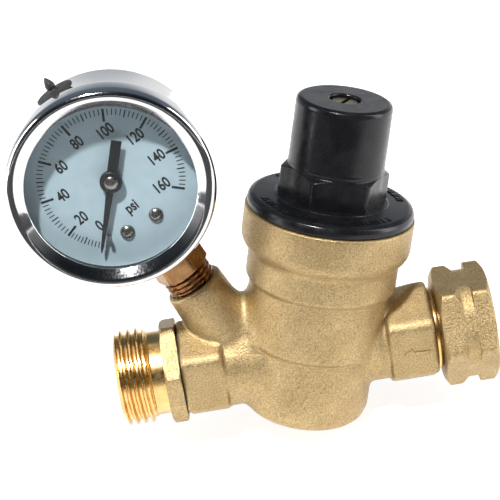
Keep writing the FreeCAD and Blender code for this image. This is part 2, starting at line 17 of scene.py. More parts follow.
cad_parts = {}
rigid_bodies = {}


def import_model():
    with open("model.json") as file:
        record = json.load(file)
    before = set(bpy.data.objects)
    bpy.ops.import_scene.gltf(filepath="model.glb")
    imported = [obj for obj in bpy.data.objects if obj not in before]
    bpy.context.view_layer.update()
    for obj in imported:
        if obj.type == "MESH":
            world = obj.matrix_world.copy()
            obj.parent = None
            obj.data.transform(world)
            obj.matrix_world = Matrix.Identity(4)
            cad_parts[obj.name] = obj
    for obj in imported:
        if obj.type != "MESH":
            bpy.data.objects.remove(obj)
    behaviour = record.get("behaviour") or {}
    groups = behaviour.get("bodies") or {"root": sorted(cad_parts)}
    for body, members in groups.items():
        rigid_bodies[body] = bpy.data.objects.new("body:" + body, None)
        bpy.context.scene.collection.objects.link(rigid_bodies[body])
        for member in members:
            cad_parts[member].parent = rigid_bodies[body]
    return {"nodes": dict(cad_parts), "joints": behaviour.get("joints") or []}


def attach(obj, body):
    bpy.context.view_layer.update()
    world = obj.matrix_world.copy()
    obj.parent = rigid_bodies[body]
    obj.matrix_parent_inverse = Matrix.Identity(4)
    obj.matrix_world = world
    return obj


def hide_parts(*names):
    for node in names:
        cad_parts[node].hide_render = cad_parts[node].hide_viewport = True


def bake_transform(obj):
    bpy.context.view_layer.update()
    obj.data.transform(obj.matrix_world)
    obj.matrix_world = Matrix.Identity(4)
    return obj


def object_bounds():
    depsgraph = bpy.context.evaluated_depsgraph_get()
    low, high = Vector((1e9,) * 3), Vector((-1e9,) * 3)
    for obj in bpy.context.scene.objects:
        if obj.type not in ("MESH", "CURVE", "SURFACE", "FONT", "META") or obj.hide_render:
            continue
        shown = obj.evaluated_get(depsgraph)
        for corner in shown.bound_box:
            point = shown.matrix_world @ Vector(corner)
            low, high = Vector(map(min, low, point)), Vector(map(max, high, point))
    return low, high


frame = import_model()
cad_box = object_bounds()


def box_size_mm(box):
    return [round(v * 1000, 1) for v in box[1] - box[0]]


print("CAD nodes:", len(frame["nodes"]), "CAD box (mm):", box_size_mm(cad_box))

# %% [markdown]
# ## Where things are
# The pieces sit on four axes: the pipe, the spring chamber, the gauge's stem and the dial.
# Rather than typing those positions again, they are read from the model's joints, because the
# adjusting spindle turns about the chamber's axis and the pointer turns about the dial's.
# Each axis becomes a matrix whose local z runs along it, so a piece can be made upright, at
# the origin and in millimetres, and then put in place by one multiplication.

# %% Four working frames
MM = 0.001
joints = {joint["name"]: joint for joint in frame["joints"]}


def axes_matrix(origin, x_axis, y_axis, z_axis):
    """A frame in metres whose own units are millimetres."""
    rows = [list(Vector(axis) * MM) for axis in (x_axis, y_axis, z_axis)]
    matrix = Matrix.Identity(4)
    for column, axis in enumerate(rows):
        for row in range(3):
            matrix[row][column] = axis[row]
    matrix.translation = Vector(origin)
    return matrix


pipe = axes_matrix((0, 0, 0), (0, 0, -1), (0, 1, 0), (1, 0, 0))

chamber_axis = Vector(joints["adjuster_turn"]["axis"])
chamber_foot = Vector(joints["adjuster_turn"]["pos_m"])
chamber_side = Vector((chamber_axis.z, 0, -chamber_axis.x))
chamber = axes_matrix(chamber_foot, chamber_side, (0, 1, 0), chamber_axis)

DIAL_TURN = math.radians(4.5)
STEM_LEAN = math.radians(23.3)
GAUGE_CENTRE = 68.4
dial_centre = Vector(joints["pointer_turn"]["pos_m"])


def dial_axes(lean):
    right = (math.cos(lean), 0, math.sin(lean))
    up = (-math.sin(lean), 0, math.cos(lean))
    return axes_matrix(dial_centre, right, up, (0, -1, 0))


dial = dial_axes(STEM_LEAN + DIAL_TURN)
socket = dial_axes(STEM_LEAN)
stem_way = Vector((-math.sin(STEM_LEAN), 0, math.cos(STEM_LEAN)))
stem_foot = dial_centre - stem_way * GAUGE_CENTRE * MM
stem_side = (math.cos(STEM_LEAN), 0, math.sin(STEM_LEAN))
stem = axes_matrix(stem_foot, stem_side, (0, 1, 0), stem_way)
print("chamber leans", round(math.degrees(math.asin(chamber_axis.x)), 1), "degrees, gauge stem foot at x =",
      round(stem_foot.x / MM, 1), "mm")

# %% [markdown]
# ## Camera
# A long lens from a little above, square to the pipe, with the whole fitting rolled slightly
# clockwise in the frame, as a product is laid for a catalogue picture. The camera is aimed at
# the point where the chamber's axis crosses the pipe, then slid left and up without turning, so
# that the whole fitting is in the frame.

# %% Camera
ELEVATION = math.radians(22.8)
ROLL = math.radians(-9.25)
DISTANCE = 0.500
LENS_MM, SENSOR_MM = 127.73, 36.0
SLIDE_LEFT, SLIDE_UP = 17.11, 27.48        # millimetres, square to the view

away = Vector((0, -math.cos(ELEVATION), math.sin(ELEVATION)))
level_right = Vector((1, 0, 0))
level_up = away.cross(level_right)
view_right = level_right * math.cos(ROLL) + level_up * math.sin(ROLL)
view_up = level_up * math.cos(ROLL) - level_right * math.sin(ROLL)
eye = chamber_foot + away * DISTANCE - view_right * SLIDE_LEFT * MM + view_up * SLIDE_UP * MM

camera_data = bpy.data.cameras.new("catalogue_camera")
camera_data.sensor_width = SENSOR_MM
camera_data.lens = LENS_MM
camera_data.clip_start, camera_data.clip_end = 0.01, 20.0
camera = bpy.data.objects.new("catalogue_camera", camera_data)
bpy.context.scene.collection.objects.link(camera)
camera.matrix_world = Matrix((
    (view_right.x, view_up.x, away.x, eye.x),
    (view_right.y, view_up.y, away.y, eye.y),
    (view_right.z, view_up.z, away.z, eye.z),
    (0, 0, 0, 1)))
bpy.context.scene.camera = camera
print("lens", round(camera_data.lens, 1), "mm from", round(DISTANCE * 1000), "mm away")

# %% [markdown]
# ## Floor and light
# Bright metal looks like what stands round it, so the room matters more than the lamps. The
# floor is a light table. The world is pale near the horizon and dark blue overhead, which gives
# the steel its bands, and it is dark on the side of the viewer, as is a felt card on the floor
# there, which the camera is told not to see. One small, hard key high in front throws the crisp shadow of
# the bezel on the dial. Two tall soft boxes at the sides give the black cap its white edges.

# %% World
scene = bpy.context.scene
scene.view_settings.view_transform = "Standard"
floor_level = cad_box[0].z - 0.0008

SKY = ((0.00, (0.98, 0.98, 0.98)), (0.14, (0.90, 0.91, 0.92)), (0.32, (0.34, 0.38, 0.42)),
       (0.45, (0.15, 0.18, 0.21)), (1.00, (0.11, 0.14, 0.18)))
FRONT_STRENGTH = 0.08


def range_of(tree, source, low, high, to_low, to_high):
    node = tree.nodes.new("ShaderNodeMapRange")
    node.inputs["From Min"].default_value, node.inputs["From Max"].default_value = low, high
    node.inputs["To Min"].default_value, node.inputs["To Max"].default_value = to_low, to_high
    tree.links.new(source, node.inputs["Value"])
    return node.outputs["Result"]


def ramp_of(tree, source, stops):
    node = tree.nodes.new("ShaderNodeValToRGB")
    first, last = node.color_ramp.elements
    first.position, last.position = stops[0][0], stops[-1][0]
    first.color, last.color = (*stops[0][1], 1), (*stops[-1][1], 1)
    for position, colour in stops[1:-1]:
        node.color_ramp.elements.new(position).color = (*colour, 1)
    tree.links.new(source, node.inputs["Fac"])
    return node.outputs["Color"]


world = bpy.data.worlds.new("studio_room")
world.use_nodes = True
sky_tree = world.node_tree
sky_way = sky_tree.nodes.new("ShaderNodeSeparateXYZ")
sky_tree.links.new(sky_tree.nodes.new("ShaderNodeTexCoord").outputs["Generated"], sky_way.inputs["Vector"])
background = sky_tree.nodes["Background"]
sky_tree.links.new(ramp_of(sky_tree, sky_way.outputs["Z"], SKY), background.inputs["Color"])
front_to_back = range_of(sky_tree, sky_way.outputs["Y"], -0.6, 0.1, FRONT_STRENGTH, 1.0)
sky_tree.links.new(front_to_back, background.inputs["Strength"])
scene.world = world

# %% Floor and lamps
def plain_material(name, colour, roughness):
    material = bpy.data.materials.new(name)
    material.use_nodes = True
    shader = material.node_tree.nodes["Principled BSDF"]
    shader.inputs["Base Color"].default_value = (*colour, 1)
    shader.inputs["Roughness"].default_value = roughness
    return material


bpy.ops.mesh.primitive_plane_add(size=6.0, location=(0.05, 0.0, floor_level))
floor = bpy.context.object
floor.name = "studio_floor"
paper = plain_material("light_table", (0.5, 0.5, 0.5), 0.9)
paper_shader = paper.node_tree.nodes["Principled BSDF"]
paper_shader.inputs["Emission Color"].default_value = (1, 1, 1, 1)
paper_shader.inputs["Emission Strength"].default_value = 0.82
floor.data.materials.append(paper)

bpy.ops.mesh.primitive_plane_add(size=1.0, location=(0.05, -0.75, floor_level + 0.0004))
dark_card = bpy.context.object
dark_card.name = "dark_card"
dark_card.scale = (3.0, 1.2, 1.0)
dark_card.data.materials.append(plain_material("dark_felt", (0.02, 0.02, 0.022), 0.9))
for seen_by in ("visible_camera", "visible_transmission", "visible_shadow"):
    setattr(dark_card, seen_by, False)


def lamp(name, kind, energy, place, aim, colour=(1, 1, 1)):
    data = bpy.data.lights.new(name, kind)
    data.energy = energy
    data.color = colour
    holder = bpy.data.objects.new(name, data)
    scene.collection.objects.link(holder)
    holder.location = place
    holder.rotation_euler = (Vector(aim) - Vector(place)).to_track_quat("-Z", "Y").to_euler()
    return data


KEY_STRENGTH, KEY_PLACE, KEY_ANGLE = 4.3, (-0.07, -0.53, 0.87), math.radians(4)
BOX_POWER, BOX_SIZE = 2.2, (0.22, 0.55)
middle = (0.05, 0.0, 0.03)
key = lamp("hard_key", "SUN", KEY_STRENGTH, KEY_PLACE, middle)
key.angle = KEY_ANGLE
for side_name, side_x in (("left_box", -0.55), ("right_box", 0.65)):
    box = lamp(side_name, "AREA", BOX_POWER, (side_x, -0.08, 0.22), middle)
    box.shape = "RECTANGLE"
    box.size, box.size_y = BOX_SIZE
print("floor at z =", round(floor_level / MM, 1), "mm, one key and two soft boxes")

# %% [markdown]
# ## Finishes
# Every finish is a small node tree. They share three habits. Coordinates are the object's own,
# in metres, so grain has a real size. Numbers that don't vary are typed on the shader itself.
# Colour, roughness and bump each get their own noise, because on real metal they don't vary
# together; the forged brass is the exception, where the dent noise also paints shade into the
# dent floors and a painted sparkle onto their tops. One helper builds the nodes in a line, which keeps each
# finish short.

# %% A small workbench for node trees
class Finish:
    """One material under construction: its tree, its shader and shared coordinates."""

    def __init__(self, name, metallic=0.0, roughness=0.5, **sockets):
        self.material = bpy.data.materials.new(name)
        self.material.use_nodes = True
        self.tree = self.material.node_tree
        self.shader = self.tree.nodes["Principled BSDF"]
        self.shader.inputs["Metallic"].default_value = metallic
        self.shader.inputs["Roughness"].default_value = roughness
        for socket_name, value in sockets.items():
            self.shader.inputs[socket_name.replace("_", " ")].default_value = value
        self.place = self.tree.nodes.new("ShaderNodeTexCoord").outputs["Object"]
        self.normal = None

    def link(self, source, target):
        self.tree.links.new(source, target)

    def stretched(self, scale):
        node = self.tree.nodes.new("ShaderNodeMapping")
        node.inputs["Scale"].default_value = scale
        self.link(self.place, node.inputs["Vector"])
        return node.outputs["Vector"]

    def noise(self, size_mm, detail=4.0, roughness=0.55, vector=None):
        node = self.tree.nodes.new("ShaderNodeTexNoise")
        node.inputs["Scale"].default_value = 1.0 / (size_mm * MM)
        node.inputs["Detail"].default_value = detail
        node.inputs["Roughness"].default_value = roughness
        self.link(vector or self.place, node.inputs["Vector"])
        return node.outputs["Fac"]

    def ramp(self, source, stops):
        return ramp_of(self.tree, source, stops)

    def spread(self, source, low, high):
        return range_of(self.tree, source, 0.3, 0.7, low, high)

    def speckled(self, colour, painted_dent_shade_and_sparkle):
        """Colour multiplied by a second, finer one: here the painted shade and sparkle of the dents."""
        mix = self.tree.nodes.new("ShaderNodeMix")
        mix.data_type, mix.blend_type = "RGBA", "MULTIPLY"
        mix.inputs["Factor"].default_value = 1.0
        self.link(colour, mix.inputs["A"])
        self.link(painted_dent_shade_and_sparkle, mix.inputs["B"])
        return mix.outputs["Result"]

    def colour(self, source):
        self.link(source, self.shader.inputs["Base Color"])

    def tint(self, low, high, *noise_args, **noise_kwargs):
        """Base colour that drifts between two colours by a noise of the given size."""
        self.colour(self.ramp(self.noise(*noise_args, **noise_kwargs), steps_of(low, high)))

    def rough(self, source, low, high):
        self.link(self.spread(source, low, high), self.shader.inputs["Roughness"])

    def bump(self, source, depth_mm, strength=1.0):
        node = self.tree.nodes.new("ShaderNodeBump")
        node.inputs["Distance"].default_value = depth_mm * MM
        node.inputs["Strength"].default_value = strength
        self.link(source, node.inputs["Height"])
        if self.normal:
            self.link(self.normal, node.inputs["Normal"])
        self.normal = node.outputs["Normal"]
        self.link(self.normal, self.shader.inputs["Normal"])


def steps_of(low, high, count=3):
    """Evenly spaced ramp stops between two colours."""
    return [(0.3 + 0.4 * k / (count - 1), tuple(a + (b - a) * k / (count - 1) for a, b in zip(low, high)))
            for k in range(count)]


# %% [markdown]
# ### Shot-blasted forging
# The body and the nut are hot-forged brass, cleaned by a blast of shot. The blast leaves
# overlapping dents a few tenths of a millimetre wide: broad light is scattered to a tan
# satin, while single dents sparkle. Two sizes of noise make the dents, and the coarser one
# also paints shade into their floors and a painted sparkle onto their tops, in the colour.
# A slow noise tints the metal, and the roughness has its own grain.

# %% Forged brass
def forged_brass():
    finish = Finish("forged_brass", metallic=0.8, roughness=0.48, Specular_IOR_Level=0.5)
    tone = finish.noise(8.0, detail=3.0)
    tan = finish.ramp(tone, steps_of((0.38, 0.27, 0.125), (0.47, 0.345, 0.175)))
    dents = finish.noise(0.42, detail=3.0, roughness=0.6)
    # Painted shade and sparkle: the dent noise darkens the dent floors and brightens their tops in the
    # colour.
    painted_dent_shade_and_sparkle = ((0.34, (0.66, 0.63, 0.60)), (0.50, (1.0, 1.0, 1.0)), (0.66, (1.28, 1.28, 1.26)))
    finish.colour(finish.speckled(tan, finish.ramp(dents, painted_dent_shade_and_sparkle)))
    finish.rough(finish.noise(0.5), 0.34, 0.58)
    finish.bump(dents, 0.12, 1.0)
    finish.bump(finish.noise(0.22, detail=2.0), 0.05, 1.0)
    return finish.material


# %% [markdown]
# ### Turned brass
# The hose thread, the necks and the gauge's stem come off a lathe: yellow, bright, with fine
# rings where the tool passed. The rings follow each piece's axis, so this finish is made once
# per axis, by turning the coordinates before a stretched noise reads them.

# %% Turned brass
def turned_brass(name, axis_matrix, low=(0.64, 0.40, 0.14), high=(0.84, 0.59, 0.26), rough=(0.18, 0.32)):
    finish = Finish(name, metallic=1.0, roughness=0.18)
    node = finish.tree.nodes.new("ShaderNodeMapping")
    turn = axis_matrix.to_3x3().normalized().transposed().to_euler()
    node.inputs["Rotation"].default_value = turn
    finish.link(finish.place, node.inputs["Vector"])
    squeeze = finish.tree.nodes.new("ShaderNodeMapping")
    squeeze.inputs["Scale"].default_value = (0.04, 0.04, 1.0)
    finish.link(node.outputs["Vector"], squeeze.inputs["Vector"])
    rings = finish.noise(0.22, detail=3.0, vector=squeeze.outputs["Vector"])
    finish.tint(low, high, 6.0)
    finish.rough(finish.noise(2.5), *rough)
    finish.bump(rings, 0.012, 0.6)
    return finish.material


# %% [markdown]
# ### Black cap, rubber and plated steel
# The cap is glass-filled nylon moulded against polished steel: nearly black, glossy, with a
# faint flow texture. Rubber is duller and bloomed. The gauge's case and bezel are polished
# stainless, where hairline scratches only show in the roughness.

# %% Plastic, rubber, steel
def moulded_nylon():
    finish = Finish("moulded_nylon", roughness=0.24, Specular_IOR_Level=0.32)
    finish.tint((0.004, 0.004, 0.005), (0.010, 0.010, 0.012), 5.0)
    finish.rough(finish.noise(3.0, detail=6.0), 0.18, 0.34)
    finish.bump(finish.noise(1.8, detail=3.0), 0.02, 0.35)
    return finish.material


def black_rubber():
    finish = Finish("black_rubber", roughness=0.6)
    finish.tint((0.012, 0.012, 0.012), (0.035, 0.035, 0.034), 2.0)
    finish.rough(finish.noise(1.0), 0.45, 0.7)
    finish.bump(finish.noise(0.35), 0.015, 0.5)
    return finish.material


def polished_steel():
    finish = Finish("polished_steel", metallic=1.0, roughness=0.08)
    hairlines = finish.noise(0.5, detail=6.0, vector=finish.stretched((1.0, 0.08, 1.0)))
    finish.tint((0.62, 0.62, 0.63), (0.74, 0.74, 0.75), 12.0)
    finish.rough(hairlines, 0.05, 0.13)
    finish.bump(finish.noise(4.0, detail=2.0), 0.01, 0.15)
    return finish.material


def plain_steel(name, colour, rough, grain_mm):
    finish = Finish(name, metallic=1.0, roughness=rough)
    dark = tuple(c * 0.8 for c in colour)
    finish.tint(dark, colour, 2.0)
    finish.rough(finish.noise(grain_mm), rough * 0.75, rough * 1.35)
    finish.bump(finish.noise(grain_mm), 0.006, 0.5)
    return finish.material


# %% [markdown]
# ### Dial, print, pointer and window
# The dial is sheet aluminium with a pale enamel, its print is a thin black ink, and the window
# is a clear disc. A refracting window would throw the lamps' light as caustics, which render
# slowly and noisily, so the window is a thin, mostly clear sheet with a gloss.

# %% Dial finishes
def dial_enamel():
    finish = Finish("dial_enamel", roughness=0.45)
    finish.tint((0.47, 0.62, 0.69), (0.53, 0.68, 0.75), 3.5, detail=6.0)
    finish.rough(finish.noise(1.2), 0.38, 0.55)
    finish.bump(finish.noise(0.5), 0.006, 0.4)
    return finish.material


def black_ink(name, shade, roughness):
    finish = Finish(name, roughness=roughness)
    finish.tint((shade,) * 3, (shade * 2.2,) * 3, 1.0)
    finish.rough(finish.noise(0.8), roughness * 0.8, roughness * 1.2)
    finish.bump(finish.noise(0.3), 0.004, 0.3)
    return finish.material


def clear_window():
    finish = Finish("clear_window", roughness=0.03, IOR=1.49)
    finish.shader.inputs["Alpha"].default_value = 0.06
    finish.tint((0.10, 0.12, 0.13), (0.16, 0.18, 0.19), 8.0)
    finish.rough(finish.noise(3.0), 0.02, 0.06)
    return finish.material


FORGED = forged_brass()
TURNED_PIPE = turned_brass("turned_brass_pipe", pipe)
TURNED_CHAMBER = turned_brass("turned_brass_chamber", chamber)
SPINDLE_BRASS = turned_brass("spindle_brass", chamber, low=(0.26, 0.20, 0.11), high=(0.40, 0.32, 0.19),
                             rough=(0.25, 0.4))
TURNED_STEM = turned_brass("turned_brass_stem", stem, low=(0.20, 0.095, 0.04), high=(0.42, 0.23, 0.10),
                           rough=(0.16, 0.34))
SHEET_BRASS = turned_brass("sheet_brass", dial)
NYLON = moulded_nylon()
RUBBER = black_rubber()
POLISHED = polished_steel()
STEEL = plain_steel("bright_steel", (0.50, 0.50, 0.50), 0.25, 0.6)
DULL_STEEL = plain_steel("dull_steel", (0.33, 0.31, 0.28), 0.28, 0.6)
SPRING = plain_steel("spring_wire", (0.38, 0.38, 0.39), 0.32, 0.4)
ENAMEL = dial_enamel()
INK = black_ink("dial_ink", 0.010, 0.55)
BLACK_PAINT = black_ink("pointer_paint", 0.006, 0.40)
WINDOW = clear_window()
print("finishes:", len(bpy.data.materials))

# %% [markdown]
# ## A lathe in code
# Nearly everything here is turned, or turned and then cut to a hexagon. A lathe needs only an
# outline of (radius, height) points. Corners are broken by a small arc first, since a real
# edge always catches a line of light and a perfectly sharp one never does. A piece may also
# give a shape function, which moves each point in or out by angle and height: that is how the
# same lathe makes hexagons, chamfers that fade at the flats, and true helical threads.

# %% Outline helpers
def softened(outline, reach=0.25, steps=3):
    """The closed outline with each corner cut back by reach and rounded, in mm."""
    points = []
    count = len(outline)
    for k, corner in enumerate(outline):
        here = Vector(corner)
        before, after = Vector(outline[k - 1]) - here, Vector(outline[(k + 1) % count]) - here
        turn = math.pi - before.angle(after) if before.length and after.length else 0.0
        on_axis = here.x < 1e-6
        cut = min(reach, 0.45 * before.length, 0.45 * after.length)
        if on_axis or turn < math.radians(12) or cut < 0.02:
            points.append(tuple(here))
            continue
        first, last = here + before.normalized() * cut, here + after.normalized() * cut
        for step in range(steps + 1):
            t = step / steps
            points.append(tuple(first * (1 - t) ** 2 + here * 2 * t * (1 - t) + last * t ** 2))
    return points


def divided(outline, longest):
    """The outline with no straight step longer than longest, in mm."""
    points = []
    for here, there in zip(outline, outline[1:] + outline[:1]):
        pieces = max(1, math.ceil(math.dist(here, there) / longest))
        points += [tuple(Vector(here).lerp(Vector(there), k / pieces)) for k in range(pieces)]
    return points


# %% The lathe
def finished(mesh_edit, name, matrix, material, sharp_degrees=38.0):
    """Turns a bmesh in mm into an object with its normals out and sharp edges marked."""
    bmesh.ops.remove_doubles(mesh_edit, verts=mesh_edit.verts, dist=1e-4)
    bmesh.ops.dissolve_degenerate(mesh_edit, edges=mesh_edit.edges, dist=1e-5)
    bmesh.ops.recalc_face_normals(mesh_edit, faces=mesh_edit.faces)
    for face in mesh_edit.faces:
        face.smooth = True
    for edge in mesh_edit.edges:
        if len(edge.link_faces) == 2 and edge.calc_face_angle() > math.radians(sharp_degrees):
            edge.smooth = False
    mesh_edit.transform(matrix)
    mesh = bpy.data.meshes.new(name)
    mesh_edit.to_mesh(mesh)
    mesh_edit.free()
    mesh.materials.append(material)
    piece = bpy.data.objects.new(name, mesh)
    scene.collection.objects.link(piece)
    return piece


def turned(name, matrix, outline, material, around=96, shape=None, first_angle=0.0, sharp_degrees=38.0):
    """Sweeps a closed outline of (radius, height) about z. shape(angle, radius, height) may move it."""
    mesh_edit = bmesh.new()
    rings = []
    for k in range(around):
        angle = first_angle + 2 * math.pi * k / around
        ring = []
        for radius, height in outline:
            r = shape(angle, radius, height) if shape and radius > 1e-6 else radius
            ring.append(mesh_edit.verts.new((r * math.cos(angle), r * math.sin(angle), height)))
        rings.append(ring)
    count = len(outline)
    for k in range(around):
        here, there = rings[k], rings[(k + 1) % around]
        for j in range(count):
            i = (j + 1) % count
            if outline[j][0] < 1e-6 and outline[i][0] < 1e-6:
                continue
            mesh_edit.faces.new((here[j], there[j], there[i], here[i]))
    return finished(mesh_edit, name, matrix, material, sharp_degrees)


def soft_min(a, b, blend):
    """The smaller of two numbers or arrays, with the step between them rounded over blend."""
    gap = np.maximum(blend - np.abs(a - b), 0.0) / blend
    return np.minimum(a, b) - gap * gap * blend / 4


def soft_max(a, b, blend):
    return -soft_min(-a, -b, blend)


def hexagon_radius(angle, across_flats, corner):
    """How far a hexagon's side is from its middle, in the direction angle. corner is one corner's angle."""
    sixth = math.pi / 3
    from_flat = (angle - corner) % sixth - sixth / 2
    side = across_flats / 2 / math.cos(from_flat)
    return soft_min(side, across_flats / math.sqrt(3) - 0.12, 0.3)


def on_body(piece, body, slot, *nodes):
    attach(piece, body)
    if nodes:
        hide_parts(*nodes)
    return piece


# %% [markdown]
# ## The forged body
# The body starts as a hot brass slug pressed between two dies, so wherever two shapes meet
# there is a generous fillet, and no outer edge is sharp. A bevel on a boolean result tends to
# break at such junctions. Instead, the outside is written as a distance: how far a point is
# from each simple shape. The smaller of two distances joins two shapes, and a smaller-of that
# is rounded joins them with a fillet. The CAD body is remeshed into even small faces, and each
# vertex of its outer skin then slides to where the rounded distance is zero.

# %% Distances to the simple shapes
def local_to(points, matrix):
    """World points in metres, in a frame's own millimetres."""
    inverse = np.array(matrix.inverted())
    return points @ inverse[:3, :3].T + inverse[:3, 3]


def outline_distance(across, along, outline):
    """Signed distance from 2-D points to a closed outline, negative inside, in mm."""
    best = np.full(across.shape, 1e9)
    inside = np.zeros(across.shape, bool)
    for (a0, b0), (a1, b1) in zip(outline, outline[1:] + outline[:1]):
        if a0 < 1e-6 and a1 < 1e-6 and a0 >= 0 and a1 >= 0:
            continue
        da, db = a1 - a0, b1 - b0
        share = np.clip(((across - a0) * da + (along - b0) * db) / (da * da + db * db), 0, 1)
        best = np.minimum(best, np.hypot(across - a0 - share * da, along - b0 - share * db))
        if abs(db) > 1e-9:
            crossing = a0 + (along - b0) / db * da
            inside ^= ((b0 > along) != (b1 > along)) & (across < crossing)
    return np.where(inside, -best, best)


def slab(value, low, high):
    return np.maximum(low - value, value - high)


def boss_section(across_flats, top, bottom, corner):
    """Hexagon with its top and bottom cut flat, as (up, front) points, corners rounded."""
    half, side = across_flats / 2, across_flats / 2 / math.sqrt(3)
    top_half, bottom_half = (2 * side - top) * math.sqrt(3), (2 * side - bottom) * math.sqrt(3)
    front = [(top, -top_half), (side, -half), (-side, -half), (-bottom, -bottom_half)]
    back = [(up, -across) for up, across in reversed(front)]
    return softened(front + back, corner, steps=5)


# %% The body's outside as one rounded distance
BOSS_AF, BOSS_TOP, BOSS_BOTTOM = 26.0, 14.2, 13.5
LEFT_BOSS, RIGHT_BOSS = (18.0, 29.8), (75.6, 88.7)
LEFT_NECK_R, RIGHT_NECK_R = 12.5, 12.0
RELIEF_FOOT, RELIEF_RISE = (75.0, 9.3), math.atan2(6.0, 11.0)
COLLAR_R, COLLAR_TOP = 23.4, 42.0
BARREL = softened([
    (0, -18.8), (13.2, -18.8), (15.5, -18.2), (17.2, -16.6), (18.0, -14.0), (18.0, 2.6),
    (19.5, 3.9), (19.5, 20.4), (20.9, 21.8), (20.9, 28.8), (21.5, 30.1), (22.5, 31.2),
    (23.2, 32.5), (COLLAR_R, 33.8), (COLLAR_R, COLLAR_TOP), (0, COLLAR_TOP)], reach=0.5, steps=3)
GAUGE_BOSS = softened([
    (0, 1), (8.9, 1), (8.6, 14), (8.4, 21), (8.2, 27.2), (7.7, 27.8), (0, 27.8)], reach=0.4, steps=3)
BOSS_SECTION = boss_section(BOSS_AF, BOSS_TOP, BOSS_BOTTOM, 2.2)


def body_distance(points, ease=1.0):
    """Signed distance in mm to the forging's outside. ease scales the fillets at its junctions."""
    on_chamber, on_stem = local_to(points, chamber), local_to(points, stem)
    x, y, z = (points / MM).T
    barrel = outline_distance(np.hypot(on_chamber[:, 0], on_chamber[:, 1]), on_chamber[:, 2], BARREL)
    section = outline_distance(z, y, BOSS_SECTION)
    left = soft_max(section, slab(x, *LEFT_BOSS), 1.3)
    from_pipe = np.hypot(y, z)
    left_neck = np.maximum(from_pipe - LEFT_NECK_R, slab(x, 28.0, 45.0))
    above = (z - RELIEF_FOOT[1]) * math.cos(RELIEF_RISE) - (x - RELIEF_FOOT[0]) * math.sin(RELIEF_RISE)
    right = soft_max(soft_max(section, slab(x, *RIGHT_BOSS), 1.3), above, 1.2)
    right_neck = np.maximum(np.maximum(from_pipe - RIGHT_NECK_R, slab(x, 54.5, 79.6)), above)
    riser = outline_distance(np.hypot(on_stem[:, 0], on_stem[:, 1]), on_stem[:, 2], GAUGE_BOSS)
    shape = soft_min(barrel, riser, 6.0 * ease)
    shape = soft_min(shape, left_neck, 1.6 * ease)
    shape = soft_min(shape, right_neck, 1.6 * ease)
    return soft_min(shape, soft_min(left, right, 0.9), 0.9 * ease)


# %% Remesh the CAD body and slide its skin onto that distance
def remeshed_copy(node_name, voxel_mm):
    """An evenly meshed copy of a CAD node, its split vertices merged first."""
    mesh_edit = bmesh.new()
    mesh_edit.from_mesh(frame["nodes"][node_name].data)
    bmesh.ops.remove_doubles(mesh_edit, verts=mesh_edit.verts, dist=1e-6)
    mesh = bpy.data.meshes.new("remesh_source")
    mesh_edit.to_mesh(mesh)
    mesh_edit.free()
    source = bpy.data.objects.new("remesh_source", mesh)
    scene.collection.objects.link(source)
    remesh = source.modifiers.new("even_faces", "REMESH")
    remesh.mode = "VOXEL"
    remesh.voxel_size = voxel_mm * MM
    result = bpy.data.meshes.new_from_object(source.evaluated_get(bpy.context.evaluated_depsgraph_get()))
    bpy.data.objects.remove(source)
    return result


def slid_onto(points, distance, reach_mm=0.5, passes=8, probe=2e-5):
    """Moves each point near the unfilleted surface to where distance(points) is zero."""
    near = distance(points, 0.02) > -reach_mm
    moving = points[near]
    for _ in range(passes):
        value = distance(moving)
        slope = np.stack([(distance(moving + step) - value) / (probe / MM)
                          for step in np.eye(3) * probe], axis=1)
        size = np.maximum((slope ** 2).sum(1), 0.2)
        moving = moving - slope * (value / size)[:, None] * MM
    points[near] = moving
    return points, int(near.sum())


BODY_VOXEL = 0.38
body_mesh = remeshed_copy("regulator_body", BODY_VOXEL)
skin = np.zeros(len(body_mesh.vertices) * 3)
body_mesh.vertices.foreach_get("co", skin)
skin, moved_count = slid_onto(skin.reshape(-1, 3), body_distance)
body_mesh.vertices.foreach_set("co", skin.ravel())
body_mesh.shade_smooth()
body_mesh.materials.clear()
body_mesh.materials.append(FORGED)
forging = bpy.data.objects.new("forged_body", body_mesh)
scene.collection.objects.link(forging)
on_body(forging, "regulator", "forged_brass", "regulator_body")
print("forged body:", len(body_mesh.vertices), "vertices,", moved_count, "on the outer skin")

# %% [markdown]
# ### Flow arrow
# The die leaves a raised arrow on the inlet boss, which tells a fitter which way round the
# regulator goes. It is a flat sheet a third of a millimetre proud with its edges broken. The
# same little function also cuts the gauge's pointer and the marks on the cap.

# %% Flat pieces
def sheet_into(mesh_edit, outline, low, high, bevel, matrix=None):
    """Adds a closed outline of (x, y), extruded from low to high with its edges broken."""
    lower = [mesh_edit.verts.new((x, y, low)) for x, y in outline]
    upper = [mesh_edit.verts.new((x, y, high)) for x, y in outline]
    faces = [mesh_edit.faces.new(lower[::-1]), mesh_edit.faces.new(upper)]
    for k in range(len(outline)):
        n = (k + 1) % len(outline)
        faces.append(mesh_edit.faces.new((lower[k], lower[n], upper[n], upper[k])))
    verts = set(lower + upper)
    if bevel:
        edges = {edge for face in faces for edge in face.edges}
        made = bmesh.ops.bevel(mesh_edit, geom=list(edges), offset=bevel, segments=2, affect="EDGES",
                               clamp_overlap=True)
        verts = {v for v in verts if v.is_valid} | set(made["verts"])
    if matrix:
        bmesh.ops.transform(mesh_edit, matrix=matrix, verts=list(verts))


def rectangle(x0, x1, y0, y1):
    return [(x0, y0), (x1, y0), (x1, y1), (x0, y1)]


def flat_piece(name, frame_matrix, outline, low, high, material, bevel=0.08):
    mesh_edit = bmesh.new()
    sheet_into(mesh_edit, outline, low, high, bevel)
    return finished(mesh_edit, name, frame_matrix, material)


